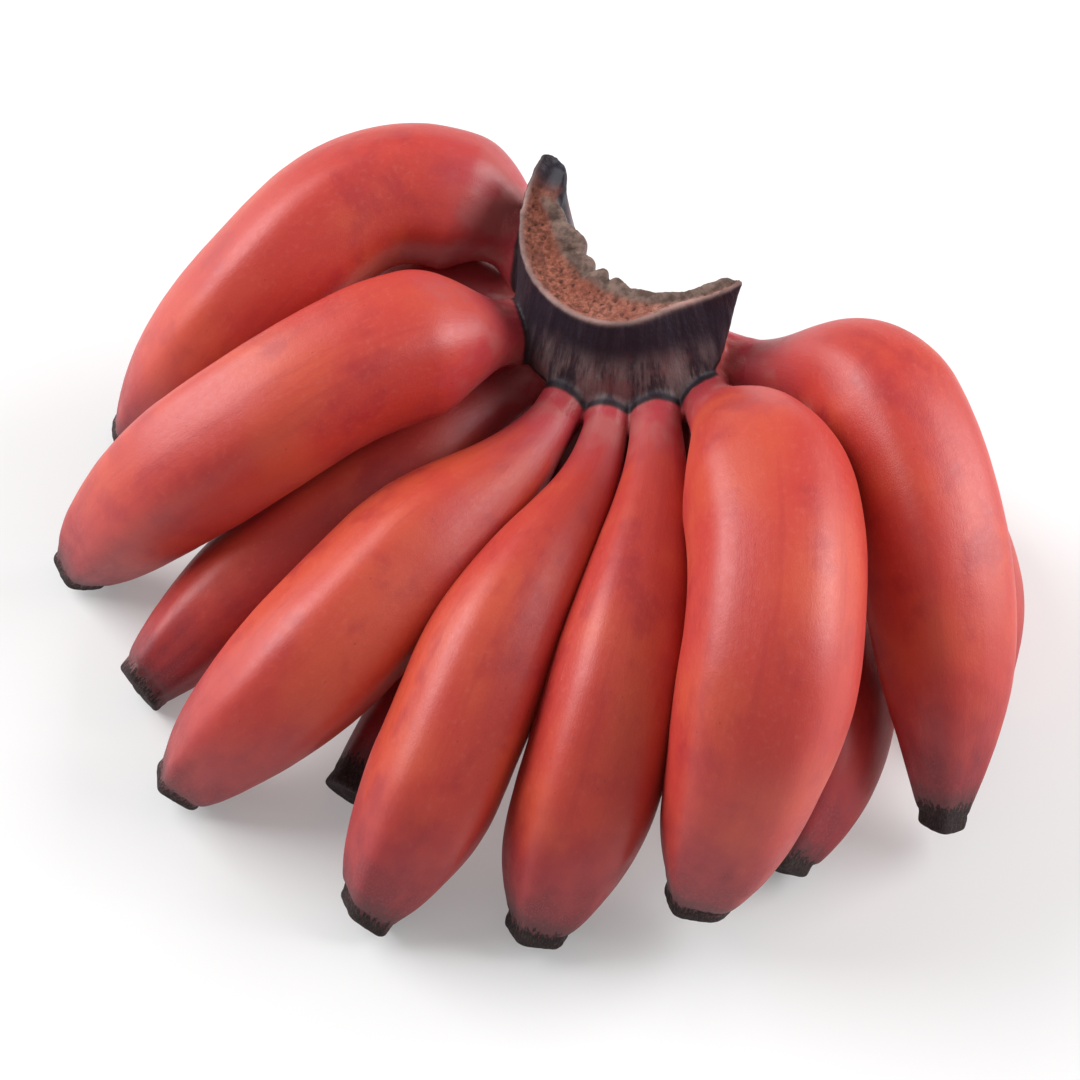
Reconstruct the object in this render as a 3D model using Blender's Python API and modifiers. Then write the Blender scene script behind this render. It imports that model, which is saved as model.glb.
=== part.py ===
"""A hand of red bananas, cut from its stalk and lying on a flat surface.

Twelve bananas grow in two rows from one woody crown.  Every banana is one closed solid, from its
narrow neck at the crown to the dry tip where the flower was, and the crown is another.
Lengths are in metres, +Z is up and the hand rests on z = 0.
"""

import math

import bmesh
import bpy
import numpy as np
from mathutils import Vector

MM = 0.001
COLLECTION = "red_banana_hand"

# The crown is a thick curved pad.  Its arc is drawn about a vertical axis, and all routes below are
# measured in millimetres from the point where that axis meets the ground.
CROWN_AXIS = Vector((26.5, 63, 0)) * MM
CROWN_START = 128.0  # degrees, the horn at the left back
CROWN_END = 338.0  # degrees, the blunt right end
CROWN_STATIONS = 15
RIM_RADIUS = 29 * MM  # outer edge of the cut face, at the middle of the arc
RIM_FLARE = 6 * MM  # how far the rim widens towards both ends
END_REACH = 3 * MM  # how much further out the blunt end stands
RIM_DIP = 6.5 * MM  # the rim is drawn in between the middle and the blunt end
RIM_HEIGHT = 86 * MM
HORN_RISE = 13 * MM  # the left end stands higher than the rest
CUT_WIDTH = 17 * MM  # width of the cut face at the middle of the arc
CUT_WIDTH_ENDS = 8 * MM
SKIN_FLARE = 7 * MM  # the outer skin leans out towards the necks
END_SLANT = 24.0  # degrees by which the underside of the blunt end falls short of its top
END_RISE = 5 * MM  # and so does the blunt end, a little
FOOT_HEIGHT = 48 * MM  # underside of the crown at the horn
FOOT_RISE = 4 * MM  # how much higher the underside is at the blunt end
FOOT_WIDTH = 20 * MM  # thickness of the crown where the necks join it
GAP = 0.6 * MM  # clearance between a neck and the crown

# Bananas
AROUND = 10  # points in a ring: five ridges and five flats
STATIONS = (0, 0.06, 0.12, 0.20, 0.29, 0.39, 0.50, 0.61, 0.72, 0.82, 0.90, 0.96, 1.0)
RIDGE = 0.022  # height of a ridge, as a share of the radius
SEAT_RADIUS = {"upper": 26.5 * MM, "lower": 22 * MM}
SEAT_HEIGHT = {"upper": 58 * MM, "lower": 53 * MM}
NECK_END = 0.06  # share of the length where the neck starts to swell
TIP_RADIUS = 8 * MM

# Each banana: its row, its seat on the crown in degrees, its neck (radius) and its girth (greatest
# diameter) in mm, the shares of its length where it becomes full and where it starts to taper, and
# the route of its middle line in mm, from just outside the crown to the tip.
BANANAS = {
    "banana_upper_1": dict(
        row="upper", seat=150, neck=9.5, girth=39.5, full=0.20, taper=0.62,
        route=[
            (-33, 22, 65), (-48, 29, 70), (-70, 29, 72), (-93, 14.5, 66), (-118, -1, 43), (-144, -4, 2.4),
        ],
    ),
    "banana_upper_2": dict(
        row="upper", seat=197, neck=8, girth=40.5, full=0.25, taper=0.58,
        route=[(-44, -18, 68), (-66, -27, 72.5), (-100, -44, 65), (-130, -52, 42), (-156, -51, 3)],
    ),
    "banana_upper_3": dict(
        row="upper", seat=241, neck=5.8, girth=40.5, full=0.48, taper=0.62,
        route=[
            (-33, -54.6, 55.2), (-52.8, -74.2, 51.7), (-80, -101.8, 44.2),
            (-103, -118, 28.5), (-124, -124, 3),
        ],
    ),
    "banana_upper_4": dict(
        row="upper", seat=261, neck=5.6, girth=36, full=0.60, taper=0.76,
        route=[
            (-12.2, -62, 57.5), (-26.6, -91, 58.3), (-42.8, -123, 48.3),
            (-56, -147, 29), (-72, -165, 4.5),
        ],
    ),
    "banana_upper_5": dict(
        row="upper", seat=284, neck=6.4, girth=37.2, full=0.62, taper=0.76,
        route=[(6.2, -64, 61.5), (2, -95, 61.3), (-4.9, -127, 53.5), (-14.3, -150, 32), (-26, -170, 4)],
    ),
    "banana_upper_6": dict(
        row="upper", seat=306, neck=6.6, girth=46, full=0.38, taper=0.64,
        route=[
            (21.5, -37, 62), (31.2, -62, 76), (36.5, -97, 84),
            (34.5, -129, 77), (27, -152, 50), (17, -167, 15),
        ],
    ),
    "banana_upper_7": dict(
        row="upper", seat=321.5, neck=6.3, girth=40, full=0.38, taper=0.58,
        route=[
            (43, -28, 66), (60, -38, 75), (74, -65, 74), (82, -100, 56), (84, -127, 31), (83.5, -140, 11),
        ],
    ),
    "banana_lower_1": dict(
        row="lower", seat=174, neck=6.5, girth=30, full=0.34, taper=0.56,
        route=[(-36, 11.5, 46), (-57, 20, 37.8), (-80, 13, 23), (-100, -7, 15.5), (-116, -22, 7)],
    ),
    "banana_lower_2": dict(
        row="lower", seat=212, neck=7, girth=34, full=0.36, taper=0.62,
        route=[(-26, -14.4, 46.3), (-44, -24, 41), (-69, -43, 32.5), (-99, -64, 24), (-137, -95, 7)],
    ),
    "banana_lower_3": dict(
        row="lower", seat=240, neck=5.8, girth=28.5, full=0.50, taper=0.66,
        route=[(-19, -30, 40), (-33, -55, 28.3), (-49.5, -92, 17.2), (-77, -130, 8.2)],
    ),
    "banana_lower_4": dict(
        row="lower", seat=287, neck=5.8, girth=36, full=0.60, taper=0.64,
        route=[(17, -27, 42), (34, -46, 34), (51, -80, 25), (52, -122, 18), (38, -152, 7.2)],
    ),
    "banana_lower_5": dict(
        row="lower", seat=315, neck=5.6, girth=33, full=0.50, taper=0.62,
        route=[(32, -14, 44), (57, -20, 33), (83, -38, 19), (95, -72, 16), (92, -107, 7.4)],
    ),
}

SKIN = dict(color=(0.46, 0.060, 0.035), roughness=0.42)
LOWER_SKIN = dict(color=(0.36, 0.040, 0.030), roughness=0.45)
CROWN_BARK = dict(color=(0.065, 0.040, 0.042), roughness=0.70)


def clear_scene():
    for obj in list(bpy.data.objects):
        bpy.data.objects.remove(obj, do_unlink=True)


def collection(name):
    made = bpy.data.collections.new(name)
    bpy.context.scene.collection.children.link(made)
    return made


def material(name, color, roughness):
    made = bpy.data.materials.new(name)
    made.use_nodes = True
    shader = made.node_tree.nodes["Principled BSDF"]
    shader.inputs["Base Color"].default_value = (*color, 1.0)
    shader.inputs["Roughness"].default_value = roughness
    shader.inputs["Metallic"].default_value = 0.0
    made.diffuse_color = (*color, 1.0)
    return made


def natural_spline(points):
    """A function of 0..1 that runs through the points with continuous curvature."""
    points = np.array(points, float)
    knots = np.r_[0.0, np.cumsum(np.linalg.norm(np.diff(points, axis=0), axis=1))]
    step = np.diff(knots)
    count = len(points)
    system = np.eye(count)
    right = np.zeros_like(points)
    for i in range(1, count - 1):
        system[i, i - 1 : i + 2] = step[i - 1], 2 * (step[i - 1] + step[i]), step[i]
        right[i] = 6 * ((points[i + 1] - points[i]) / step[i] - (points[i] - points[i - 1]) / step[i - 1])
    bend = np.linalg.solve(system, right)

    def at(share):
        place = np.clip(share, 0.0, 1.0) * knots[-1]
        i = min(int(np.searchsorted(knots, place, side="right")) - 1, count - 2)
        a = (knots[i + 1] - place) / step[i]
        b = 1.0 - a
        curve = ((a**3 - a) * bend[i] + (b**3 - b) * bend[i + 1]) * step[i] ** 2 / 6
        return a * points[i] + b * points[i + 1] + curve

    return at


def frames(at, shares):
    """Middle point and two cross directions at each share, carried along without twisting."""
    result = []
    side = None
    for share in shares:
        ahead = Vector(at(share + 0.004) - at(share - 0.004)).normalized()
        if side is None:
            side = ahead.cross(Vector((0, 0, 1)))
        side = (side - ahead * side.dot(ahead)).normalized()
        result.append((Vector(at(share)), side, side.cross(ahead)))
    return result


def loft(name, place, rings, target, surface):
    """A closed smooth solid, with its origin at place, through rings of equally many points."""
    mesh = bmesh.new()
    rows = [[mesh.verts.new(point) for point in ring] for ring in rings]
    count = len(rows[0])
    for near, far in zip(rows, rows[1:]):
        for i in range(count):
            j = (i + 1) % count
            mesh.faces.new((near[i], near[j], far[j], far[i]))
    mesh.faces.new(reversed(rows[0]))
    mesh.faces.new(rows[-1])
    bmesh.ops.recalc_face_normals(mesh, faces=mesh.faces)
    data = bpy.data.meshes.new(name)
    mesh.to_mesh(data)
    mesh.free()
    data.shade_smooth()
    data.materials.append(surface)
    obj = bpy.data.objects.new(name, data)
    obj.location = place
    target.objects.link(obj)
    smooth = obj.modifiers.new("Subdivision", "SUBSURF")
    smooth.levels = 1
    smooth.render_levels = 1
    return obj


def crown_section(turn):
    """One slice of the crown about its axis; turn is 0 at the horn and 1 at the blunt end."""
    ends = (2 * turn - 1) ** 2  # 0 at the middle of the arc, 1 at either end
    horn = max(0.0, 1 - turn / 0.35) ** 2
    blunt = max(0.0, 2 * turn - 1) ** 2
    slant = END_SLANT * max(0.0, (turn - 0.75) / 0.25)
    edge = RIM_RADIUS + RIM_FLARE * ends + END_REACH * blunt
    rim = edge - RIM_DIP * math.exp(-(((turn - 0.82) / 0.15) ** 2))
    inner = edge - CUT_WIDTH - (CUT_WIDTH_ENDS - CUT_WIDTH) * ends
    width = rim - inner
    top = RIM_HEIGHT + HORN_RISE * horn + END_RISE * blunt
    foot = FOOT_HEIGHT + FOOT_RISE * turn
    tall = top - foot
    skin = edge + SKIN_FLARE * max(0.12, 1 - 6 * (turn - 0.62) ** 2)
    heel = skin - FOOT_WIDTH
    outline = [
        (rim, top),
        (rim + (skin - rim) * 0.35, top - tall * 0.22),
        (rim + (skin - rim) * 0.75, top - tall * 0.47),
        (skin, foot + tall * 0.28),
        (skin - 2 * MM, foot + tall * 0.10),
        (skin - FOOT_WIDTH * 0.35, foot),
        (heel + FOOT_WIDTH * 0.25, foot + tall * 0.02),
        (heel, foot + tall * 0.15),
        (heel + (inner - heel) * 0.45, foot + tall * 0.45),
        (inner, foot + tall * 0.76),
        (inner + width * 0.02, top - 3 * MM),
        (rim - width * 0.45, top - 2 * MM),
    ]
    ring = []
    for radius, height in outline:
        short = slant * (top - height) / tall
        angle = math.radians(CROWN_START + (CROWN_END - CROWN_START) * turn - short)
        ring.append(Vector((radius * math.cos(angle), radius * math.sin(angle), height)))
    return ring


def crown(name, target, surface):
    turns = [i / (CROWN_STATIONS - 1) for i in range(CROWN_STATIONS)]
    return loft(name, CROWN_AXIS, [crown_section(turn) for turn in turns], target, surface)


def crown_clearance(target, surface):
    """The crown, grown by the gap that the necks keep from it."""
    cutter = crown("crown_clearance", target, surface)
    grow = cutter.modifiers.new("Grow", "DISPLACE")
    grow.strength = GAP
    grow.mid_level = 0.0
    cutter.hide_render = True
    cutter.display_type = "WIRE"
    return cutter


def smooth_step(value):
    value = min(max(value, 0.0), 1.0)
    return value * value * (3 - 2 * value)


def fullness(share, full, taper):
    """How full a banana is along its length: 0 at its neck and its tip, 1 at its full girth."""
    swell = smooth_step((share - NECK_END) / (full - NECK_END))
    past = max(0.0, (share - taper) / (1 - taper))
    return swell * (1 - past**2) ** 0.9


def banana(name, row, seat, neck, girth, full, taper, route, target, surface, cutter):
    angle = math.radians(seat)
    start = Vector((
        SEAT_RADIUS[row] * math.cos(angle),
        SEAT_RADIUS[row] * math.sin(angle),
        SEAT_HEIGHT[row],
    ))
    at = natural_spline([start] + [Vector(point) * MM for point in route])
    shrink = math.cos(math.pi / AROUND)  # subdivision pulls a ring in by this much
    rings = []
    for share, (middle, side, back) in zip(STATIONS, frames(at, STATIONS)):
        filled = fullness(share, full, taper)
        thin = neck * MM + (TIP_RADIUS - neck * MM) * share
        radius = (thin + (girth * MM / 2 - thin) * filled) / shrink
        ring = []
        for i in range(AROUND):
            turn = 2 * math.pi * i / AROUND
            reach = radius * (1 + RIDGE * (1 if i % 2 == 0 else -1) * filled)
            across = side * (reach * math.cos(turn)) + back * (reach * math.sin(turn))
            ring.append(middle + across - start)
        rings.append(ring)
    obj = loft(name, CROWN_AXIS + start, rings, target, surface)
    cut = obj.modifiers.new("Crown gap", "BOOLEAN")
    cut.operation = "DIFFERENCE"
    cut.solver = "EXACT"
    cut.object = cutter


def build():
    clear_scene()
    parts = collection(COLLECTION)
    cutters = collection("cutters")
    bark = material("crown_bark", **CROWN_BARK)
    upper = material("banana_skin", **SKIN)
    lower = material("banana_skin_lower", **LOWER_SKIN)
    crown("crown", parts, bark)
    cutter = crown_clearance(cutters, bark)
    for name, values in BANANAS.items():
        surface = upper if values["row"] == "upper" else lower
        banana(name, **values, target=parts, surface=surface, cutter=cutter)


build()
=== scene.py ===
"""A hand of red bananas on a pale floor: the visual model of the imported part.

Every CAD node is replaced by a finer mesh that follows the same middle lines and sections.
Lengths are in metres, +Z is up, and the floor is z = 0.
"""

import math

import bpy
import numpy as np
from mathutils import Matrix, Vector, noise
from mathutils.bvhtree import BVHTree


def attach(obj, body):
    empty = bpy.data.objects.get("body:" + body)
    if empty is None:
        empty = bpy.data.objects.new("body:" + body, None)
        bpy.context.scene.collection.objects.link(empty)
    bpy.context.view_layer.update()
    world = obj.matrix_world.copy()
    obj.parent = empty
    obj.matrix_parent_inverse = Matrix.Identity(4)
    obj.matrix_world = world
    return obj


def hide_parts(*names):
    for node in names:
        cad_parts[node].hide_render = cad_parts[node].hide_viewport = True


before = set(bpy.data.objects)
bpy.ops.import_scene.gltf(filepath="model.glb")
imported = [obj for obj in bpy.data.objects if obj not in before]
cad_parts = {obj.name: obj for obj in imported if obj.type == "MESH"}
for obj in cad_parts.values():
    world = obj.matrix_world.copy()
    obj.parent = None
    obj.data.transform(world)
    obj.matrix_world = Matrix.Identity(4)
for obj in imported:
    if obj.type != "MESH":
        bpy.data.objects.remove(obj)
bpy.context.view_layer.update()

MM = 0.001

# The crown, as in the CAD model: a curved pad drawn about a vertical axis.
CROWN_AXIS = np.array([26.5, 63.0, 0.0]) * MM
CROWN_START = 128.0  # degrees, the horn at the left back
CROWN_END = 338.0  # degrees, the blunt right end
RIM_RADIUS = 29 * MM  # outer edge of the cut face, at the middle of the arc
RIM_FLARE = 6 * MM  # how far the rim widens towards both ends
END_REACH = 3 * MM  # how much further out the blunt end stands
RIM_DIP = 6.5 * MM  # the rim is drawn in between the middle and the blunt end
RIM_HEIGHT = 86 * MM
HORN_RISE = 13 * MM  # the left end stands higher than the rest
END_RISE = 5 * MM  # and so does the blunt end, a little
CUT_WIDTH = 17 * MM  # width of the cut face at the middle of the arc
CUT_WIDTH_ENDS = 8 * MM
SKIN_FLARE = 7 * MM  # the outer skin leans out towards the necks
END_SLANT = 24.0  # degrees by which the underside of the blunt end falls short of its top
FOOT_HEIGHT = 48 * MM  # underside of the crown at the horn
FOOT_RISE = 4 * MM  # how much higher the underside is at the blunt end
FOOT_WIDTH = 20 * MM  # thickness of the crown where the necks join it

# Finer shape of the crown, with the roots of the necks and the webs between them
HORN_NOTCH = 3.0 * MM  # small bay in the inner edge below the horn
END_TUCK = 6.5 * MM  # how much the blunt end narrows towards its foot
KNOB_PITCH = 8 * MM  # spacing of the knobs along the inner edge of the cut face
KNOB_RADIUS = 17 * MM  # where that spacing is measured
BARK_RADIUS = 30 * MM  # where the bark's ribs and streaks are measured
OPEN_SIDE = 54.0  # degrees, a direction through the crown's open side
CROWN_VOXEL = 0.64 * MM  # grain at which crown, roots and webs are fused
STUB_DEPTH = 4 * MM  # how far inside the crown the root of a neck starts
STUB_LENGTH = 27 * MM  # and how far past its seat it reaches
WEB_LENGTH = 42 * MM
WEB_DROP = 6 * MM  # how far the webs lie below the necks' middle lines
WEB_RADIUS = 5.6 * MM  # at the crown
WEB_TAPER = 4.0 * MM  # and how much thinner a web is at its far end
# How far up the crown the necks' red skin reaches (share of its height) at places along it (0..1)
BARK_TURN = (0.0, 0.77, 0.82, 0.93, 1.0)
BARK_RISE = (0.22, 0.24, 0.36, 0.50, 0.70)

# The bananas, as in the CAD model. Each has its row, its seat on the crown in degrees, its neck (radius)
# and girth (greatest diameter) in mm, the shares of its length where it becomes full and where it starts
# to taper, the roll of its ridges in degrees, and its route in mm from the foot of the crown's axis.
SEAT_RADIUS = {"upper": 26.5 * MM, "lower": 22 * MM}
SEAT_HEIGHT = {"upper": 58 * MM, "lower": 53 * MM}
NECK_END = 0.06  # share of the length where the neck starts to swell
TIP_RADIUS = 8 * MM
BANANAS = {
    "banana_upper_1": dict(
        row="upper", seat=150, neck=9.5, girth=39.5, full=0.20, taper=0.62, roll=10,
        route=[
            (-33, 22, 65), (-48, 29, 70), (-70, 29, 72), (-93, 14.5, 66), (-118, -1, 43), (-144, -4, 2.4),
        ],
    ),
    "banana_upper_2": dict(
        row="upper", seat=197, neck=8, girth=40.5, full=0.25, taper=0.58, roll=-8,
        route=[(-44, -18, 68), (-66, -27, 72.5), (-100, -44, 65), (-130, -52, 42), (-156, -51, 3)],
    ),
    "banana_upper_3": dict(
        row="upper", seat=241, neck=5.8, girth=40.5, full=0.48, taper=0.62, roll=14,
        route=[
            (-33, -54.6, 55.2), (-52.8, -74.2, 51.7), (-80, -101.8, 44.2),
            (-103, -118, 28.5), (-124, -124, 3),
        ],
    ),
    "banana_upper_4": dict(
        row="upper", seat=261, neck=5.6, girth=36, full=0.60, taper=0.76, roll=4,
        route=[
            (-12.2, -62, 57.5), (-26.6, -91, 58.3), (-42.8, -123, 48.3),
            (-56, -147, 29), (-72, -165, 4.5),
        ],
    ),
    "banana_upper_5": dict(
        row="upper", seat=284, neck=6.4, girth=37.2, full=0.62, taper=0.76, roll=-6,
        route=[(6.2, -64, 61.5), (2, -95, 61.3), (-4.9, -127, 53.5), (-14.3, -150, 32), (-26, -170, 4)],
    ),
    "banana_upper_6": dict(
        row="upper", seat=306, neck=6.6, girth=46, full=0.38, taper=0.64, roll=-18,
        route=[
            (21.5, -37, 62), (31.2, -62, 76), (36.5, -97, 84),
            (34.5, -129, 77), (27, -152, 50), (17, -167, 15),
        ],
    ),
    "banana_upper_7": dict(
        row="upper", seat=321.5, neck=6.3, girth=40, full=0.38, taper=0.58, roll=6,
        route=[
            (43, -28, 66), (60, -38, 75), (74, -65, 74), (82, -100, 56), (84, -127, 31), (83.5, -140, 11),
        ],
    ),
    "banana_lower_1": dict(
        row="lower", seat=174, neck=6.5, girth=30, full=0.34, taper=0.56, roll=0,
        route=[(-36, 11.5, 46), (-57, 20, 37.8), (-80, 13, 23), (-100, -7, 15.5), (-116, -22, 7)],
    ),
    "banana_lower_2": dict(
        row="lower", seat=212, neck=7, girth=34, full=0.36, taper=0.62, roll=12,
        route=[(-26, -14.4, 46.3), (-44, -24, 41), (-69, -43, 32.5), (-99, -64, 24), (-137, -95, 7)],
    ),
    "banana_lower_3": dict(
        row="lower", seat=240, neck=5.8, girth=28.5, full=0.50, taper=0.66, roll=-10,
        route=[(-19, -30, 40), (-33, -55, 28.3), (-49.5, -92, 17.2), (-77, -130, 8.2)],
    ),
    "banana_lower_4": dict(
        row="lower", seat=287, neck=5.8, girth=36, full=0.60, taper=0.64, roll=8,
        route=[(17, -27, 42), (34, -46, 34), (51, -80, 25), (52, -122, 18), (38, -152, 7.2)],
    ),
    "banana_lower_5": dict(
        row="lower", seat=315, neck=5.6, girth=33, full=0.50, taper=0.62, roll=-4,
        route=[(32, -14, 44), (57, -20, 33), (83, -38, 19), (95, -72, 16), (92, -107, 7.4)],
    ),
}

# Finer shape of the bananas
ROUTE_STEPS = 501  # points along a route when its length is measured
AROUND = 96  # points in a ring
RING_STEP = 1.0 * MM
RIDGES = 5
TOUCH = 0.35 * MM  # added all round, so that neighbours press against each other
RIDGE = 0.032  # height of a ridge, as a share of the radius
COLLAR = 4.5 * MM  # length of the blunt, dry end
# The dry end, from its shoulder inwards: share of the tip radius, and place along the banana in mm.
TIP_END = (
    (0.99, 0.0), (0.985, 0.6), (0.98, 1.2), (0.975, 1.8), (0.97, 2.4), (0.965, 3.0), (0.955, 3.5),
    (0.93, 3.9), (0.885, 4.2), (0.82, 4.35), (0.72, 4.3), (0.60, 4.1), (0.48, 3.95), (0.36, 4.05),
    (0.27, 4.4), (0.20, 4.7), (0.12, 4.9), (0.05, 4.95),
)
END_TILT = 1.3 * MM  # how far the blunt end leans off square
TIP_WIDTH = {"banana_upper_5": 1.05, "banana_upper_6": 1.16, "banana_upper_7": 0.78}  # against the usual
# How much further the dry, black part reaches up each tip than usual, in mm
WITHERED = {
    "banana_upper_1": -0.6, "banana_upper_2": -1.0, "banana_upper_3": -1.4, "banana_upper_4": -0.6,
    "banana_upper_6": -0.8, "banana_upper_7": 3.4, "banana_lower_2": -2.4, "banana_lower_3": 2.5,
}

# Camera and light
VIEW_CENTRE = CROWN_AXIS + np.array([-25.0, -69.3, 43.2]) * MM
VIEW_DISTANCE = 1.0
VIEW_ELEVATION = 55.0  # degrees
VIEW_LENS = 121.67  # mm, on a 36 mm sensor
SENSOR = 36.0
FLOOR_SIDE = 15.0  # half of the floor's width
LIGHTS = {  # place, width and height, and power of each soft light
    "left": ((-1.05, 0.42, 0.82), (1.1, 1.1), 25),
    "right": ((1.05, 0.10, 0.62), (0.9, 0.9), 17),
}


def natural_spline(points):
    """A function of 0..1 that runs through the points with continuous curvature."""
    points = np.array(points, float)
    knots = np.r_[0.0, np.cumsum(np.linalg.norm(np.diff(points, axis=0), axis=1))]
    step = np.diff(knots)
    count = len(points)
    system = np.eye(count)
    right = np.zeros_like(points)
    for i in range(1, count - 1):
        system[i, i - 1 : i + 2] = step[i - 1], 2 * (step[i - 1] + step[i]), step[i]
        right[i] = 6 * ((points[i + 1] - points[i]) / step[i] - (points[i] - points[i - 1]) / step[i - 1])
    bend = np.linalg.solve(system, right)

    def at(share):
        place = np.clip(share, 0.0, 1.0) * knots[-1]
        i = min(int(np.searchsorted(knots, place, side="right")) - 1, count - 2)
        a = (knots[i + 1] - place) / step[i]
        b = 1.0 - a
        curve = ((a**3 - a) * bend[i] + (b**3 - b) * bend[i + 1]) * step[i] ** 2 / 6
        return a * points[i] + b * points[i + 1] + curve

    return at


def smooth_step(low, high, value):
    value = np.clip((value - low) / (high - low), 0.0, 1.0)
    return value * value * (3 - 2 * value)


def unit(vectors):
    return vectors / np.linalg.norm(vectors, axis=-1, keepdims=True)


def lumps(points, per_metre, seed):
    """Smooth noise of about -1..1 at each point, with bumps about 1 / per_metre apart."""
    shift = Vector((seed * 3.7, seed * 5.3, seed * 7.1))
    return np.array([noise.noise(Vector(p) * per_metre + shift) for p in points.reshape(-1, 3)]).reshape(
        points.shape[:-1]
    )


def fine_route(route_points):
    at = natural_spline(route_points)
    return np.array([at(share) for share in np.linspace(0, 1, ROUTE_STEPS)])


def route_length(route_points):
    return np.linalg.norm(np.diff(fine_route(route_points), axis=0), axis=1).sum()


def path_frames(route_points, stops):
    """Middle points at these distances along the route, with ahead, side and back directions, untwisted."""
    fine = fine_route(route_points)
    travel = np.r_[0.0, np.cumsum(np.linalg.norm(np.diff(fine, axis=0), axis=1))]
    slope = unit(np.gradient(fine, axis=0))
    middles = np.stack([np.interp(stops, travel, fine[:, k]) for k in range(3)], axis=1)
    ahead = unit(np.stack([np.interp(stops, travel, slope[:, k]) for k in range(3)], axis=1))
    side = np.zeros_like(middles)
    carried = np.cross(ahead[0], (0, 0, 1))
    for i, direction in enumerate(ahead):
        carried = carried - direction * carried.dot(direction)
        carried = carried / np.linalg.norm(carried)
        side[i] = carried
    return middles, ahead, side, np.cross(side, ahead)


def spokes(side, back, angle):
    """Directions across the route at each of its middle points, one for each angle."""
    return side[:, None, :] * np.cos(angle)[None, :, None] + back[:, None, :] * np.sin(angle)[None, :, None]


def fullness(share, full, taper):
    """How full a banana is along its length: 0 at its neck and its tip, 1 at its full girth."""
    swell = smooth_step(NECK_END, full, share)
    past = np.clip((share - taper) / (1 - taper), 0.0, 1.0)
    return swell * (1 - past**2) ** 0.9


def grid_mesh(name, rings, clockwise=False):
    """A closed mesh through rings, each end closed by a point.

    The rings run counterclockwise as seen from the last one, unless clockwise is set. The faces point out.
    """
    count = rings.shape[1]
    ends = rings[[0, -1]].mean(axis=1)
    points = np.concatenate([rings.reshape(-1, 3), ends])
    first = len(points) - 2
    here = np.arange(len(rings) - 1)[:, None] * count + np.arange(count)[None, :]
    beside = np.arange(len(rings) - 1)[:, None] * count + (np.arange(count)[None, :] + 1) % count
    quads = np.stack([here, beside, beside + count, here + count], axis=-1).reshape(-1, 4)
    around = np.arange(count)
    following = (around + 1) % count
    last = (len(rings) - 1) * count
    caps = np.concatenate([
        np.stack([following, around, np.full(count, first)], axis=1),
        np.stack([last + around, last + following, np.full(count, first + 1)], axis=1),
    ])
    mesh = bpy.data.meshes.new(name)
    mesh.from_pydata(points.tolist(), [], quads.tolist() + caps.tolist())
    mesh.validate()
    if clockwise:
        mesh.flip_normals()
    mesh.shade_smooth()
    obj = bpy.data.objects.new(name, mesh)
    bpy.context.scene.collection.objects.link(obj)
    return obj


def store(obj, name, values):
    """A value, or a vector, at each vertex, for the materials to read."""
    values = np.asarray(values, np.float32)
    vector = values.ndim == 2
    layer = obj.data.attributes.new(name, "FLOAT_VECTOR" if vector else "FLOAT", "POINT")
    layer.data.foreach_set("vector" if vector else "value", values.ravel())


def seat_point(spec):
    angle = math.radians(spec["seat"])
    radius = SEAT_RADIUS[spec["row"]]
    return np.array([radius * math.cos(angle), radius * math.sin(angle), SEAT_HEIGHT[spec["row"]]])


def banana_radius(spec, share, filled):
    thin = spec["neck"] * MM + (TIP_RADIUS - spec["neck"] * MM) * share
    return thin + (spec["girth"] * MM / 2 - thin) * filled + TOUCH


def banana_route(spec):
    points = np.array(spec["route"]) * MM
    return CROWN_AXIS + np.vstack([seat_point(spec), points])


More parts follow.
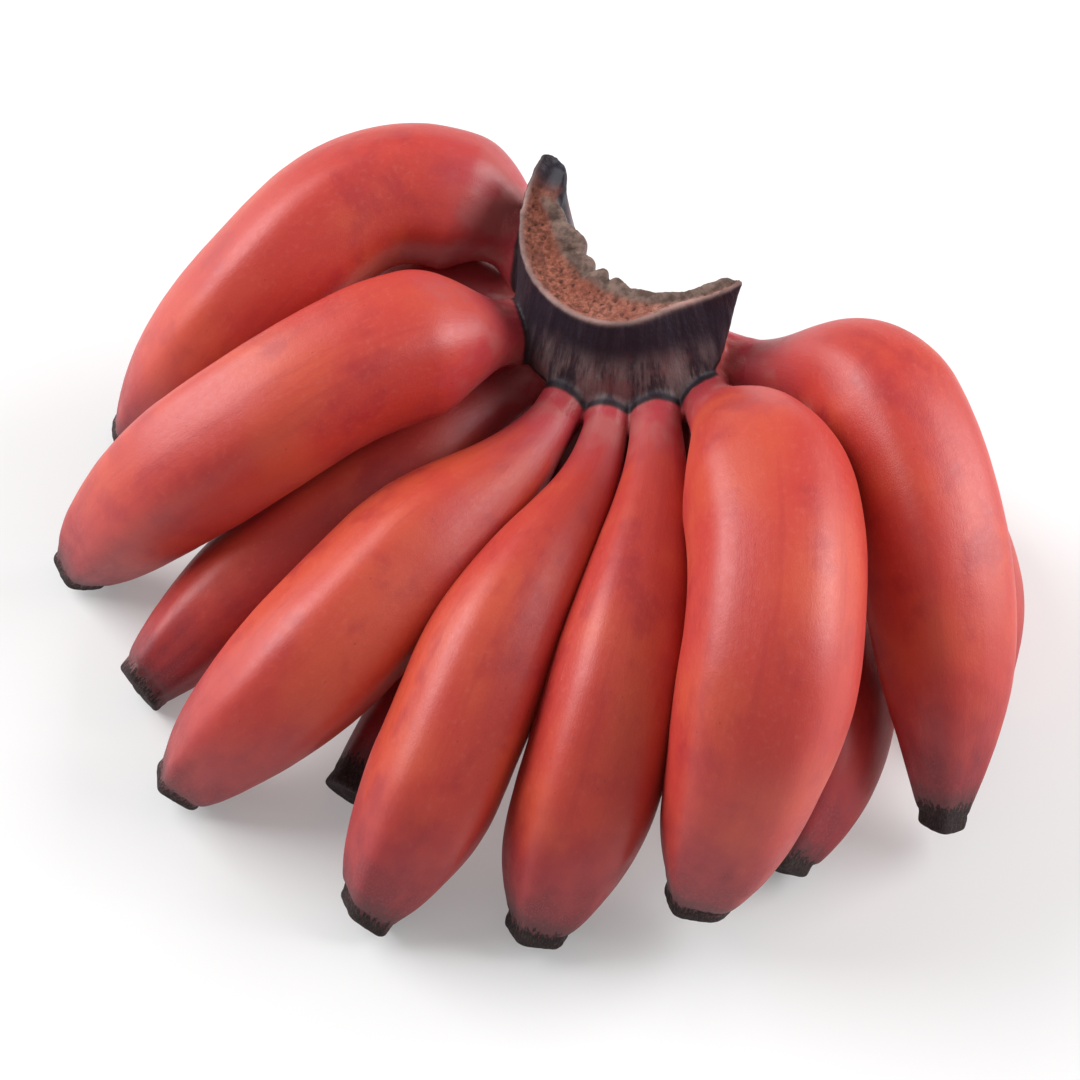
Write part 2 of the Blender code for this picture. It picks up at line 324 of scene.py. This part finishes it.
def banana(name, spec, number):
    """One banana as a fine mesh: ridged body, thin neck and a dry, ragged tip."""
    points = banana_route(spec)
    length = route_length(points)
    body = length - COLLAR
    rings = int(body / RING_STEP)
    tip_shares, tip_places = np.array(TIP_END).T
    stops = np.r_[np.linspace(0, body, rings, endpoint=False), body + tip_places * MM]
    middles, ahead, side, back = path_frames(points, np.minimum(stops, length))
    middles = middles + ahead * np.maximum(stops - length, 0)[:, None]
    share = np.clip(stops / body, 0, 1)
    filled = fullness(share, spec["full"], spec["taper"])
    radius = banana_radius(spec, share, filled)
    radius[rings:] = (TIP_RADIUS + TOUCH) * tip_shares
    radius = radius * (1 + (TIP_WIDTH.get(name, 1.0) - 1) * smooth_step(0.78, 1.0, share))

    angle = np.arange(AROUND) * (2 * math.pi / AROUND)
    turn = angle[None, :] - math.radians(spec["roll"]) - 0.25 * (share[:, None] - 0.5)
    wave = np.cos(RIDGES * turn)
    crest = ((wave + 1) / 2) ** 1.7
    rng = np.random.default_rng(number + 11)
    strength = rng.uniform(0.6, 1.25, RIDGES)
    which = np.round(turn / (2 * math.pi / RIDGES)).astype(int) % RIDGES
    toward_tip = smooth_step(0.80, 1.0, share)
    grown = 0.25 + 0.75 * filled + 1.9 * toward_tip
    shape = 1 + RIDGE * grown[:, None] * (1.7 * crest * strength[which] - 0.75)

    cross = spokes(side, back, angle)
    skin = middles[:, None, :] + cross * (radius[:, None] * shape)[:, :, None]
    slow = lumps(skin, 38, number)
    quick = lumps(skin, 150, number + 20)
    dry = smooth_step(body - 3 * MM, body + 1 * MM, stops)[:, None]
    end = smooth_step(0.0, 0.3, radius / TIP_RADIUS)[:, None]
    ragged = lumps(skin, 620, number + 40)
    move = (0.55 * slow * filled[:, None] + 0.07 * quick + 0.22 * ragged * dry * end) * MM
    skin = skin + cross * move[:, :, None]
    lean = END_TILT * np.cos(angle - rng.uniform(0, 2 * math.pi))[None, :] * (radius / TIP_RADIUS)[:, None]
    skin = skin + ahead[:, None, :] * (dry * (lean + 0.30 * MM * quick * end))[:, :, None]

    obj = grid_mesh(name.replace("banana", "fruit"), skin, clockwise=True)
    along = np.broadcast_to(stops[:, None], skin.shape[:2])
    flat = np.stack([
        np.broadcast_to(2 * np.cos(angle)[None, :], skin.shape[:2]) + 7 * number,
        np.broadcast_to(2 * np.sin(angle)[None, :], skin.shape[:2]),
        along * 100,
    ], axis=-1).reshape(-1, 3)
    ends = [0, len(flat) - 1]
    withered = WITHERED.get(name, 0.0) * MM
    store(obj, "skin", np.vstack([flat, flat[ends]]))
    for key, values in (("from_neck", along), ("from_tip", body - withered - along), ("crest", crest)):
        values = np.ravel(values)
        store(obj, key, np.r_[values, values[ends]])
    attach(obj, "root")
    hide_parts(name)
    return obj


# ---------------------------------------------------------------------------------------------
# The crown


def crown_limits(turn):
    """Rim, inner and skin radius, and top and foot height, where turn is 0 at the horn, 1 at the end."""
    ends = (2 * turn - 1) ** 2
    blunt = np.clip(2 * turn - 1, 0, None) ** 2
    horn = np.clip(1 - turn / 0.35, 0, None) ** 2
    edge = RIM_RADIUS + RIM_FLARE * ends + END_REACH * blunt
    rim = edge - RIM_DIP * np.exp(-(((turn - 0.82) / 0.15) ** 2))
    notch = HORN_NOTCH * np.exp(-(((turn - 0.112) / 0.026) ** 2))
    inner = edge - (CUT_WIDTH + (CUT_WIDTH_ENDS - CUT_WIDTH) * ends) + notch
    top = RIM_HEIGHT + HORN_RISE * horn + END_RISE * blunt
    foot = FOOT_HEIGHT + FOOT_RISE * turn
    skin = edge + SKIN_FLARE * np.clip(1 - 6 * (turn - 0.62) ** 2, 0.12, None)
    skin = skin - END_TUCK * np.clip((turn - 0.84) / 0.16, 0, 1) ** 1.5
    return rim, inner, skin, top, foot


def crown_ring(turn, count):
    """One slice of the crown as a smooth closed line of count points."""
    rim, inner, skin, top, foot = (float(v) for v in crown_limits(turn))
    tall = top - foot
    width = rim - inner
    heel = skin - FOOT_WIDTH
    inner = inner - 0.5 * MM * math.exp(-(((turn - 0.05) / 0.035) ** 2))
    outline = np.array([
        (rim + 0.2 * MM, top - 0.6 * MM),
        (rim + (skin - rim) * 0.16, top - tall * 0.09),
        (rim + (skin - rim) * 0.42, top - tall * 0.24),
        (rim + (skin - rim) * 0.80, top - tall * 0.48),
        (skin + 0.3 * MM, foot + tall * 0.28),
        (skin - 2 * MM, foot + tall * 0.10),
        (skin - FOOT_WIDTH * 0.35, foot),
        (heel + FOOT_WIDTH * 0.25, foot + tall * 0.02),
        (heel, foot + tall * 0.15),
        (heel + (inner - heel) * 0.45, foot + tall * 0.45),
        (inner, foot + tall * 0.76),
        (inner - 0.2 * MM, top - 3.2 * MM),
        (inner + 0.9 * MM, top - 1.0 * MM),
        (inner + 3.0 * MM, top - 1.6 * MM),
        (rim - width * 0.50, top - 2.3 * MM),
        (rim - min(3.0 * MM, width * 0.3), top - 1.9 * MM),
        (rim - 1.2 * MM, top - 0.4 * MM),
    ])
    closed = np.vstack([outline, outline[:1]])
    step = np.sqrt(np.linalg.norm(np.diff(closed, axis=0), axis=1))
    knots = np.r_[0.0, np.cumsum(step)]
    tangents = (np.roll(outline, -1, axis=0) - np.roll(outline, 1, axis=0)) / (
        step + np.roll(step, 1)
    )[:, None]
    tangents = np.vstack([tangents, tangents[:1]])
    places = np.linspace(0, knots[-1], count, endpoint=False)
    i = np.searchsorted(knots, places, side="right") - 1
    gap = step[i][:, None]
    u = ((places - knots[i]) / step[i])[:, None]
    line = (
        (2 * u**3 - 3 * u**2 + 1) * closed[i]
        + (u**3 - 2 * u**2 + u) * gap * tangents[i]
        + (3 * u**2 - 2 * u**3) * closed[i + 1]
        + (u**3 - u**2) * gap * tangents[i + 1]
    )
    near = min(turn, 1 - turn)
    keep = min(1.0, math.sqrt(max(near, 0.0004) / 0.035))
    centre = line.mean(axis=0)
    line = centre + (line - centre) * np.array([keep, 0.72 + 0.28 * keep])
    radius, height = line.T
    short = END_SLANT * max(0.0, (turn - 0.75) / 0.25) * (top - height) / tall
    bend = np.radians(CROWN_START + (CROWN_END - CROWN_START) * turn - short)
    return CROWN_AXIS + np.stack([radius * np.cos(bend), radius * np.sin(bend), height], axis=1)


def tube(name, middles, side, back, radius, count):
    """A closed tube about these middle points, with count points in a ring."""
    angle = np.arange(count) * (2 * math.pi / count)
    rings = middles[:, None, :] + spokes(side, back, angle) * radius[:, None, None]
    return grid_mesh(name, rings, clockwise=True)


def neck_stub(name, spec):
    """The root of one neck, rounded inside the crown and flared where it grows out of it."""
    points = banana_route(spec)
    body = route_length(points) - COLLAR
    stops = np.linspace(-STUB_DEPTH, STUB_LENGTH, 32)
    middles, ahead, side, back = path_frames(points, np.maximum(stops, 0))
    middles = middles + ahead * np.minimum(stops, 0)[:, None]
    share = np.maximum(stops, 0) / body
    flare = 0.15 * MM + 1.5 * MM * np.exp(-((stops / (11 * MM)) ** 2))
    radius = banana_radius(spec, share, fullness(share, spec["full"], spec["taper"])) + flare
    radius = radius - 1.0 * MM * smooth_step(12 * MM, 26 * MM, stops)
    radius = radius * np.sqrt(1 - np.clip(-stops / (STUB_DEPTH + 0.2 * MM), 0, 1) ** 2)
    return tube(name, middles, side, back, radius, 32)


def web_lines():
    """Middle points and radii of the webs of tissue low down between the crowded front necks; they fill the
    gaps there, which lie in shade, and are painted dark as shade.
    """
    upper = [spec for spec in BANANAS.values() if spec["row"] == "upper"]
    for first, second in zip(upper[2:], upper[3:-1]):
        between = (banana_route(first) + banana_route(second)[: len(first["route"]) + 1]) / 2
        between = between[:4] - np.array([0, 0, WEB_DROP])
        stops = np.linspace(0, WEB_LENGTH, 24)
        middles, _, side, back = path_frames(between, stops)
        radius = WEB_RADIUS - WEB_TAPER * stops / WEB_LENGTH
        yield middles, side, back, radius


def crown():
    """Crown, neck roots and webs, fused into one skin, which work_crown then works over by place."""
    rings = np.stack([crown_ring(turn, 120) for turn in np.linspace(0, 1, 141)])
    parts = [grid_mesh("crown_body", rings)]
    body = BVHTree.FromObject(parts[0], bpy.context.evaluated_depsgraph_get())
    parts += [neck_stub(f"stub_{i}", spec) for i, spec in enumerate(BANANAS.values())]
    parts += [tube(f"web_{i}", *line, 20) for i, line in enumerate(web_lines())]
    with bpy.context.temp_override(active_object=parts[0], selected_editable_objects=parts):
        bpy.ops.object.join()
    obj = parts[0]
    fuse = obj.modifiers.new("Fuse", "REMESH")
    fuse.mode = "VOXEL"
    fuse.voxel_size = CROWN_VOXEL
    fuse.use_smooth_shade = True
    soften = obj.modifiers.new("Soften", "SMOOTH")
    soften.factor = 0.5
    soften.iterations = 5
    shaped = bpy.data.meshes.new_from_object(obj.evaluated_get(bpy.context.evaluated_depsgraph_get()))
    obj.modifiers.clear()
    obj.data = shaped
    obj.name = "crown_pad"
    return obj, body


def vertex_places(mesh):
    points = np.empty(len(mesh.vertices) * 3, np.float32)
    mesh.vertices.foreach_get("co", points)
    normals = np.empty(len(mesh.vertices) * 3, np.float32)
    mesh.vertices.foreach_get("normal", normals)
    return points.reshape(-1, 3).astype(float), normals.reshape(-1, 3).astype(float)


def neck_share(turn, reach, height, apart):
    """Where the neck roots' red skin starts: -3 on the bark, 0 at the border, 3 well out on a neck.

    It goes by how far a point stands off the crown's own surface. Low on the crown the bark turns red too,
    up to the height that BARK_RISE gives.
    """
    _, inner, skin, top, foot = crown_limits(turn)
    rise = (height - foot) / (top - foot)
    clear = np.interp(turn, (0.40, 0.50, 0.78, 0.90), (0.9, 2.4, 2.4, 0.9)) * MM
    border = np.interp(turn, BARK_TURN, BARK_RISE)
    low = np.where(reach < skin - 5 * MM, -3.0, (border - rise) * (top - foot) / (2.0 * MM))
    share = np.clip(np.maximum((apart - clear) / (1.8 * MM), low), -3.0, 3.0)
    inner_wall = (reach < 0.5 * (inner + skin)) & (height > foot + 3 * MM)
    return np.where(inner_wall, -3.0, share)


def web_shade_share(points, outside):
    """1 on the webs between the necks, whose colour is darkened there as painted shade, 0 elsewhere."""
    web = np.zeros(len(points))
    outer = np.flatnonzero(outside)
    for middles, _, _, radius in web_lines():
        beyond = np.linalg.norm(points[outer, None, :] - middles[None, :, :], axis=2) - radius[None, :]
        web[outer] = np.maximum(web[outer], smooth_step(1.3 * MM, 0.6 * MM, beyond.min(axis=1)))
    return web


def work_crown(obj, body):
    """Fibres, pits, knobs and streaks, and the values that the crown's material reads.

    The body is the crown's own surface, before the necks were fused to it.
    """
    points, normals = vertex_places(obj.data)
    flat = points - CROWN_AXIS
    bend = np.degrees(np.arctan2(flat[:, 1], flat[:, 0]))
    bend = np.where(bend < OPEN_SIDE, bend + 360, bend)
    turn = (bend - CROWN_START) / (CROWN_END - CROWN_START)
    inside = np.clip(turn, 0, 1)
    reach = np.hypot(flat[:, 0], flat[:, 1])
    height = flat[:, 2]
    rim, inner, skin, top, foot = crown_limits(inside)
    arc = np.radians(bend) * BARK_RADIUS

    # how much of the cut face, its pale lip and its knobby inner edge each point has
    up = smooth_step(0.35, 0.75, normals[:, 2])
    high = smooth_step(6 * MM, 4 * MM, top - height)
    cut = up * high * smooth_step(0.2 * MM, 1.6 * MM, rim - reach) * smooth_step(0.055, 0.11, inside)
    cut = cut * smooth_step(1.0, 0.975, inside)
    worn = 0.75 + 0.5 * lumps(points, 130, 12)
    lip = high * np.exp(-(((rim - 0.4 * MM - reach) / (0.95 * MM)) ** 2))
    lip = np.clip(lip * smooth_step(0.3, 0.8, normals[:, 2]) * worn, 0, 1)
    depth = np.interp(inside, (0.0, 0.30, 0.45), (19 * MM, 17 * MM, 9 * MM))
    edge = smooth_step(6.0 * MM, 2.6 * MM, reach - inner) * smooth_step(depth, depth - 5 * MM, top - height)
    edge = edge * smooth_step(0.08, 0.14, inside)
    away = (reach - skin) / (10 * MM)
    rise = (height - foot) / (top - foot)
    apart = np.array([body.find_nearest(Vector(p))[3] for p in points])
    root = neck_share(inside, reach, height, apart)

    # knobs on the inner edge, ribs on the bark, pits and grit in the cut face
    pitch = np.radians(bend) * KNOB_RADIUS / KNOB_PITCH
    knob = np.abs(np.sin(math.pi * (pitch + 0.22 * lumps(points, 90, 3))))
    scallop = edge * smooth_step(0.78, 0.5, inside) * (knob**0.6 * 3.6 - 1.4)
    scallop = scallop + edge * smooth_step(0.5, 0.78, inside) * 0.6 * lumps(points, 240, 9)
    scallop = scallop + edge * 2.2 * np.exp(-(((inside - 0.23) / 0.09) ** 2))
    bark_place = np.stack([arc, reach * 0.25, height * 0.12], axis=1)
    ribs = lumps(bark_place, 420, 5)
    ribs_fine = lumps(bark_place, 1100, 6)
    pits = lumps(points, 900, 7)
    grit = lumps(points, 1700, 8)
    bark = (1 - cut) * (1 - edge) * smooth_step(1.4, 0.4, away)
    deep = np.minimum(pits + 0.15, 0) * 1.5
    move = (
        scallop
        + bark * (0.24 * ribs + 0.12 * ribs_fine)
        + cut * (0.16 * pits + 0.50 * deep + 0.13 * grit)
        + 0.05 * grit
    ) * MM
    inward = -np.stack([flat[:, 0], flat[:, 1], np.zeros(len(flat))], axis=1) / reach[:, None]
    toward = normals * (1 - 0.5 * edge)[:, None] + inward * (0.5 * edge)[:, None]
    points = points + toward * move[:, None]
    obj.data.vertices.foreach_set("co", points.astype(np.float32).ravel())
    obj.data.update()

    store(obj, "cut", cut)
    store(obj, "lip", lip * smooth_step(0.03, 0.12, inside))
    store(obj, "edge", edge)
    store(obj, "pit", np.clip(-(pits + 0.3 * grit), 0, 1))
    store(obj, "rise", rise)
    store(obj, "root", root)
    store(obj, "web", web_shade_share(points, reach > skin - 2 * MM))
    store(obj, "along", inside)
    store(obj, "bark", np.stack([arc * 100, reach * 25, height * 12], axis=1))
    obj.data.shade_smooth()
    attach(obj, "root")
    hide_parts("crown")


# ---------------------------------------------------------------------------------------------
# Materials

NECK_RED = (0.42, 0.045, 0.058)
NECK_TAN = (0.45, 0.19, 0.155)


class Graph:
    """Short calls that add nodes to one material."""

    def __init__(self, name):
        self.material = bpy.data.materials.new(name)
        self.material.use_nodes = True
        self.tree = self.material.node_tree
        self.shader = self.tree.nodes["Principled BSDF"]

    def put(self, socket, value):
        if isinstance(value, bpy.types.NodeSocket):
            self.tree.links.new(value, socket)
        elif isinstance(value, tuple) and len(socket.default_value) == 4:
            socket.default_value = (*value, 1.0)
        else:
            socket.default_value = value

    def attribute(self, name, vector=False):
        made = self.tree.nodes.new("ShaderNodeAttribute")
        made.attribute_name = name
        return made.outputs["Vector" if vector else "Fac"]

    def place(self):
        return self.tree.nodes.new("ShaderNodeTexCoord").outputs["Object"]

    def scaled(self, where, scale):
        made = self.tree.nodes.new("ShaderNodeMapping")
        self.put(made.inputs["Vector"], where)
        made.inputs["Scale"].default_value = scale
        return made.outputs["Vector"]

    def noise(self, where, scale, detail=3.0, rough=0.5):
        made = self.tree.nodes.new("ShaderNodeTexNoise")
        self.put(made.inputs["Vector"], where)
        made.inputs["Scale"].default_value = scale
        made.inputs["Detail"].default_value = detail
        made.inputs["Roughness"].default_value = rough
        return made.outputs["Fac"]

    def cells(self, where, scale):
        made = self.tree.nodes.new("ShaderNodeTexVoronoi")
        self.put(made.inputs["Vector"], where)
        made.inputs["Scale"].default_value = scale
        return made.outputs["Distance"]

    def math(self, operation, a, b=0.0):
        made = self.tree.nodes.new("ShaderNodeMath")
        made.operation = operation
        self.put(made.inputs[0], a)
        self.put(made.inputs[1], b)
        return made.outputs[0]

    def remap(self, value, low, high, to_low=0.0, to_high=1.0):
        made = self.tree.nodes.new("ShaderNodeMapRange")
        made.interpolation_type = "SMOOTHSTEP"
        self.put(made.inputs["Value"], value)
        for key, number in (("From Min", low), ("From Max", high), ("To Min", to_low), ("To Max", to_high)):
            made.inputs[key].default_value = number
        return made.outputs["Result"]

    def blend(self, share, a, b):
        made = self.tree.nodes.new("ShaderNodeMix")
        made.data_type = "RGBA"
        self.put(made.inputs[0], share)
        self.put(made.inputs[6], a)
        self.put(made.inputs[7], b)
        return made.outputs[2]

    def bump(self, height, strength, distance, normal=None):
        made = self.tree.nodes.new("ShaderNodeBump")
        self.put(made.inputs["Height"], height)
        made.inputs["Strength"].default_value = strength
        made.inputs["Distance"].default_value = distance
        if normal is not None:
            self.put(made.inputs["Normal"], normal)
        return made.outputs["Normal"]


def skin_material(name, red, orange, crimson):
    """Waxy banana skin: patches, streaks, specks and scars, dark towards both ends."""
    g = Graph(name)
    skin = g.attribute("skin", vector=True)
    neck = g.attribute("from_neck")
    tip = g.attribute("from_tip")
    crest = g.attribute("crest")
    patches = g.remap(g.noise(skin, 0.30, 2.0, 0.55), 0.42, 0.68, 0.0, 0.75)
    streaks = g.noise(g.scaled(skin, (2.6, 2.6, 0.22)), 1.0, 5.0, 0.62)
    mottle = g.noise(skin, 6.5, 4.0, 0.65)
    fine = g.noise(skin, 26.0, 2.0, 0.6)

    color = g.blend(patches, red, orange)
    color = g.blend(g.remap(g.noise(skin, 0.8, 3.0), 0.50, 0.72, 0.0, 0.55), color, crimson)
    color = g.blend(g.remap(streaks, 0.52, 0.74, 0.0, 0.28), color, crimson)
    color = g.blend(g.remap(mottle, 0.52, 0.75, 0.0, 0.16), color, (0.66, 0.15, 0.11))
    color = g.blend(g.remap(fine, 0.50, 0.70, 0.0, 0.10), color, (0.20, 0.016, 0.014))

    # crimson purple with fine pale specks towards the tip, then dry and almost black
    wander = g.math("MULTIPLY", g.math("SUBTRACT", g.noise(skin, 1.3, 3.0), 0.5), 0.030)
    tip_place = g.math("ADD", tip, wander)
    color = g.blend(g.remap(tip_place, 0.044, 0.008, 0.0, 0.90), color, (0.29, 0.013, 0.020))
    color = g.blend(g.remap(tip_place, 0.020, 0.002, 0.0, 0.55), color, (0.12, 0.009, 0.014))
    grain = g.remap(g.noise(skin, 16.0, 2.0), 0.50, 0.66)
    speckle = g.math("MULTIPLY", grain, g.remap(tip_place, 0.024, 0.002, 0.0, 0.28))
    color = g.blend(speckle, color, (0.40, 0.095, 0.095))
    ragged = g.math("MULTIPLY", g.math("SUBTRACT", g.noise(skin, 5.0, 5.0, 0.65), 0.5), 0.013)
    end_place = g.math("ADD", tip, ragged)
    color = g.blend(g.remap(end_place, 0.0085, 0.0005, 0.0, 0.85), color, (0.075, 0.016, 0.018))
    dry = g.remap(end_place, 0.0010, -0.0006)
    flakes = g.remap(g.noise(skin, 9.0, 3.0), 0.40, 0.70)
    dry_color = g.blend(flakes, (0.010, 0.007, 0.007), (0.055, 0.034, 0.029))
    color = g.blend(dry, color, dry_color)

    # crimson neck with pinkish tan streaks where it leaves the crown
    neck_place = g.math("ADD", neck, wander)
    color = g.blend(g.remap(neck_place, 0.048, 0.018, 0.0, 0.9), color, NECK_RED)
    tan = g.remap(g.noise(g.place(), 95.0, 2.0), 0.42, 0.64)
    color = g.blend(g.math("MULTIPLY", tan, g.remap(neck_place, 0.036, 0.020, 0.0, 0.34)), color, NECK_TAN)

    # dark specks and a few scars
    specks = g.remap(g.cells(g.scaled(skin, (1.0, 1.0, 0.6)), 4.2), 0.10, 0.05)
    sparse = g.remap(g.noise(skin, 0.9, 1.0), 0.50, 0.60)
    color = g.blend(g.math("MULTIPLY", g.math("MULTIPLY", specks, sparse), 0.45), color, (0.09, 0.018, 0.016))
    scar = g.noise(g.scaled(skin, (3.2, 3.2, 0.5)), 1.0, 6.0, 0.7)
    scars = g.math("MULTIPLY", g.remap(scar, 0.66, 0.74), g.remap(crest, 0.2, 0.9, 0.3, 1.0))
    color = g.blend(g.math("MULTIPLY", scars, 0.35), color, (0.17, 0.045, 0.038))
    g.put(g.shader.inputs["Base Color"], color)

    rough = g.math("ADD", g.remap(mottle, 0.3, 0.7, 0.41, 0.49), g.math("MULTIPLY", dry, 0.30))
    rough = g.math("ADD", rough, g.remap(tip_place, 0.030, 0.006, 0.0, 0.12))
    g.put(g.shader.inputs["Roughness"], rough)
    relief = g.math("ADD", g.math("MULTIPLY", streaks, 0.6), g.math("MULTIPLY", mottle, 0.4))
    normal = g.bump(relief, 0.30, 0.0005)
    normal = g.bump(fine, 0.16, 0.0002, normal)
    crust = g.bump(g.math("MULTIPLY", g.noise(skin, 22.0, 4.0, 0.7), dry), 0.8, 0.0012, normal)
    g.put(g.shader.inputs["Normal"], crust)
    g.shader.inputs["Specular IOR Level"].default_value = 0.68
    g.shader.inputs["Specular Tint"].default_value = (1.0, 0.80, 0.83, 1.0)
    return g.material


def crown_material():
    """Dark streaked bark outside, red-brown fibrous cut face, pale lip, dark knobs inside."""
    g = Graph("crown")
    place = g.place()
    bark = g.attribute("bark", vector=True)
    cut = g.attribute("cut")
    lip = g.attribute("lip")
    edge = g.attribute("edge")
    pit = g.attribute("pit")
    rise = g.attribute("rise")
    root = g.attribute("root")
    along = g.attribute("along")
    web = g.attribute("web")
    streak = g.noise(bark, 3.2, 5.0, 0.65)
    blotch = g.noise(place, 95.0, 3.0, 0.55)
    fine = g.noise(place, 900.0, 3.0, 0.6)

    # near-black under the lip, streaked with grey and pink below, and dark again along the lower edge, where
    # painted shade lines the crease above the necks
    skin = g.blend(g.remap(streak, 0.45, 0.70, 0.0, 0.30), (0.013, 0.010, 0.019), (0.070, 0.050, 0.068))
    level = g.math("ADD", rise, g.math("MULTIPLY", g.math("SUBTRACT", streak, 0.5), 0.30))
    # the grey fades out towards the necks' border, leaving painted shade there
    margin = g.math("MULTIPLY", g.remap(level, 0.80, 0.58), g.remap(root, -0.3, -1.4))
    grey = g.blend(g.remap(streak, 0.38, 0.62), (0.038, 0.027, 0.036), (0.21, 0.160, 0.160))
    grey = g.blend(g.remap(blotch, 0.48, 0.64, 0.0, 0.55), grey, (0.21, 0.075, 0.080))
    skin = g.blend(margin, skin, grey)

    # the cut face is paler and pinker towards the blunt end
    fibres = g.noise(place, 620.0, 4.0, 0.7)
    pale = g.remap(along, 0.45, 0.95, 0.0, 0.75)
    deep = g.blend(pale, (0.115, 0.031, 0.019), (0.25, 0.105, 0.078))
    light = g.blend(pale, (0.32, 0.105, 0.066), (0.54, 0.30, 0.235))
    face = g.blend(g.remap(fibres, 0.36, 0.66), deep, light)
    face = g.blend(g.remap(blotch, 0.45, 0.65, 0.0, 0.35), face, (0.27, 0.075, 0.044))
    face = g.blend(g.remap(g.noise(place, 42.0, 1.0), 0.44, 0.60, 0.0, 0.45), face, (0.17, 0.040, 0.024))
    face = g.blend(g.remap(pit, 0.22, 0.50, 0.0, 0.70), face, (0.055, 0.017, 0.012))
    crust = g.noise(place, 360.0, 3.0, 0.55)
    knobs = g.blend(g.remap(crust, 0.36, 0.66), (0.085, 0.053, 0.043), (0.20, 0.132, 0.108))
    face = g.blend(g.remap(edge, 0.25, 0.95, 0.0, 0.85), face, knobs)

    color = g.blend(cut, skin, face)
    color = g.blend(g.math("MULTIPLY", edge, 0.9), color, knobs)
    color = g.blend(g.math("MULTIPLY", lip, 0.80), color, (0.46, 0.27, 0.235))

    # the roots of the necks turn from bark to crimson and tan skin across a thin dark line of painted shade,
    # where the crease between them lies
    border = g.math("ADD", root, g.math("MULTIPLY", g.math("SUBTRACT", blotch, 0.5), 1.2))
    shade = g.math("MULTIPLY", g.remap(border, -0.7, -0.1), g.remap(border, 0.6, 0.1))
    color = g.blend(g.math("MULTIPLY", shade, 0.60), color, (0.030, 0.012, 0.012))
    neck = g.blend(g.remap(g.noise(place, 95.0, 2.0), 0.42, 0.64, 0.0, 0.34), NECK_RED, NECK_TAN)
    # the webs are painted dark as shade, as they lie deep between the necks
    neck = g.blend(web, neck, (0.13, 0.012, 0.014))
    color = g.blend(g.remap(border, 0.0, 0.7), color, neck)
    g.put(g.shader.inputs["Base Color"], color)
    bare = g.remap(border, 0.0, 0.7, 0.0, 1.0)
    rough = g.math("SUBTRACT", g.remap(cut, 0.0, 1.0, 0.56, 0.85), g.math("MULTIPLY", bare, 0.20))
    g.put(g.shader.inputs["Roughness"], rough)
    normal = g.bump(streak, 0.5, 0.0008)
    normal = g.bump(fine, 0.4, 0.0004, normal)
    g.put(g.shader.inputs["Normal"], normal)
    g.shader.inputs["Specular IOR Level"].default_value = 0.30
    return g.material


# ---------------------------------------------------------------------------------------------
# Stage


def stage():
    g = Graph("floor")
    g.shader.inputs["Base Color"].default_value = (0.62, 0.62, 0.62, 1.0)
    g.shader.inputs["Emission Color"].default_value = (1.0, 1.0, 1.0, 1.0)
    g.shader.inputs["Emission Strength"].default_value = 0.24
    g.shader.inputs["Roughness"].default_value = 0.9
    g.shader.inputs["Specular IOR Level"].default_value = 0.1
    mesh = bpy.data.meshes.new("floor")
    corners = [(x * FLOOR_SIDE, y * FLOOR_SIDE, 0) for x, y in ((-1, -1), (1, -1), (1, 1), (-1, 1))]
    mesh.from_pydata(corners, [], [(0, 1, 2, 3)])
    mesh.materials.append(g.material)
    floor = bpy.data.objects.new("floor", mesh)
    bpy.context.scene.collection.objects.link(floor)

    world = bpy.data.worlds.new("studio")
    world.use_nodes = True
    background = world.node_tree.nodes["Background"]
    background.inputs["Color"].default_value = (1.0, 1.0, 1.0, 1.0)
    background.inputs["Strength"].default_value = 0.32
    bpy.context.scene.world = world
    bpy.context.scene.view_settings.view_transform = "Standard"


def soft_light(name, place, size, power):
    light = bpy.data.lights.new(name, "AREA")
    light.shape = "RECTANGLE"
    light.size, light.size_y = size
    light.energy = power
    obj = bpy.data.objects.new(name, light)
    obj.location = place
    obj.rotation_euler = (Vector((0, 0, 0.04)) - Vector(place)).to_track_quat("-Z", "Y").to_euler()
    bpy.context.scene.collection.objects.link(obj)


def camera():
    lens = bpy.data.cameras.new("camera")
    lens.lens = VIEW_LENS
    lens.sensor_width = SENSOR
    obj = bpy.data.objects.new("camera", lens)
    rise = math.radians(VIEW_ELEVATION)
    obj.location = Vector(VIEW_CENTRE) + Vector((0, -math.cos(rise), math.sin(rise))) * VIEW_DISTANCE
    obj.rotation_euler = (math.pi / 2 - rise, 0, 0)
    bpy.context.scene.collection.objects.link(obj)
    bpy.context.scene.camera = obj


upper_skin = skin_material("upper_skin", (0.48, 0.039, 0.027), (0.56, 0.078, 0.033), (0.34, 0.018, 0.025))
# the lower row's skin is a darker copy of the upper row's: painted shade, as that row lies under the upper
# one
shaded_lower_skin = skin_material("shaded_lower_skin", (0.43, 0.031, 0.024), (0.49, 0.055, 0.028), (0.29, 0.015, 0.022))
for number, (name, spec) in enumerate(BANANAS.items()):
    fruit = banana(name, spec, number)
    fruit.data.materials.append(upper_skin if spec["row"] == "upper" else shaded_lower_skin)
pad, pad_body = crown()
work_crown(pad, pad_body)
pad.data.materials.append(crown_material())

stage()
for name, (place, size, power) in LIGHTS.items():
    soft_light(name, place, size, power)
camera()
